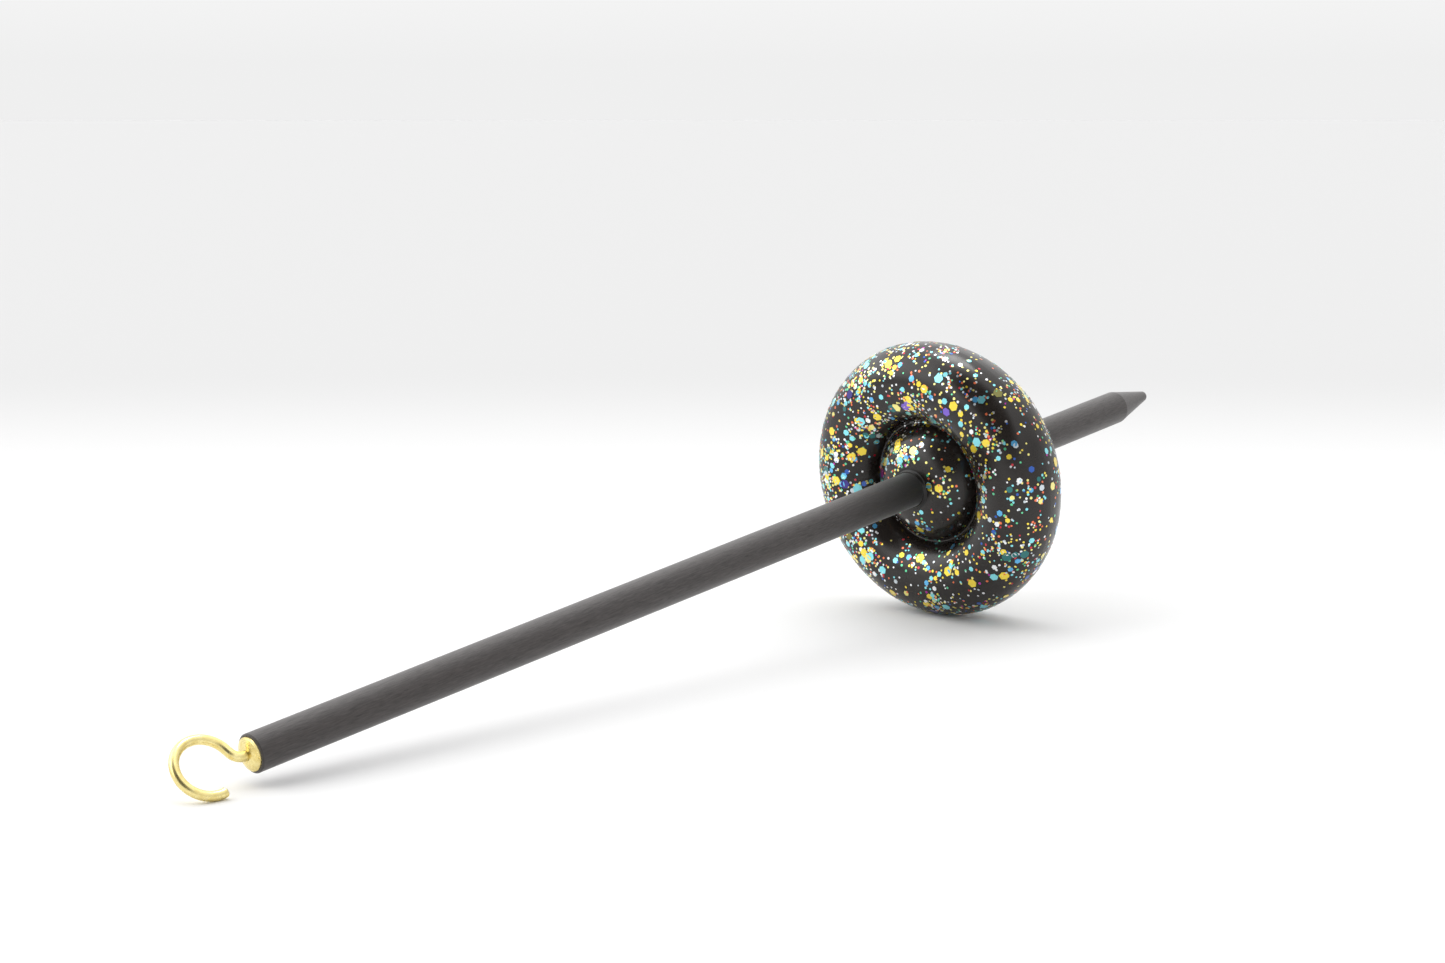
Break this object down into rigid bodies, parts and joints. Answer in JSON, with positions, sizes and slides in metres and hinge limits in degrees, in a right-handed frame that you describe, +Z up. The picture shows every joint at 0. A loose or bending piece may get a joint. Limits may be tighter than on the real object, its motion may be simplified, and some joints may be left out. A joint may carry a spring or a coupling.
{
  "type": "drop spindle",
  "caption": "Hand spindle with a slim, slightly tapered wooden shaft, a round cast resin whorl near its pointed foot and a small brass wire hook in the other end.",
  "frame": {"origin": "on the table under the middle of the spindle's box, with the spindle lying on the rim of its whorl and on its hook", "axes": "+X from the hook to the foot along the shaft's run on the table, +Z up; the shaft's axis is in the XZ plane and rises 7.8 degrees towards the foot"},
  "size_m": [0.3188, 0.0696, 0.0692],
  "materials": {
    "stained_wood": "matte charcoal stain",
    "cast_resin": "glossy black casting resin with mixed glitter flakes",
    "adhesive": "clear cured adhesive over dark wood",
    "brass_wire": "bright drawn brass",
    "brass_sheet": "bright pressed brass"
  },
  "bodies": {
    "root": {"shaft": "stained_wood", "whorl": "cast_resin", "glue_line": "adhesive", "hook": "brass_wire", "hook_flange": "brass_sheet"}
  },
  "joints": []
}
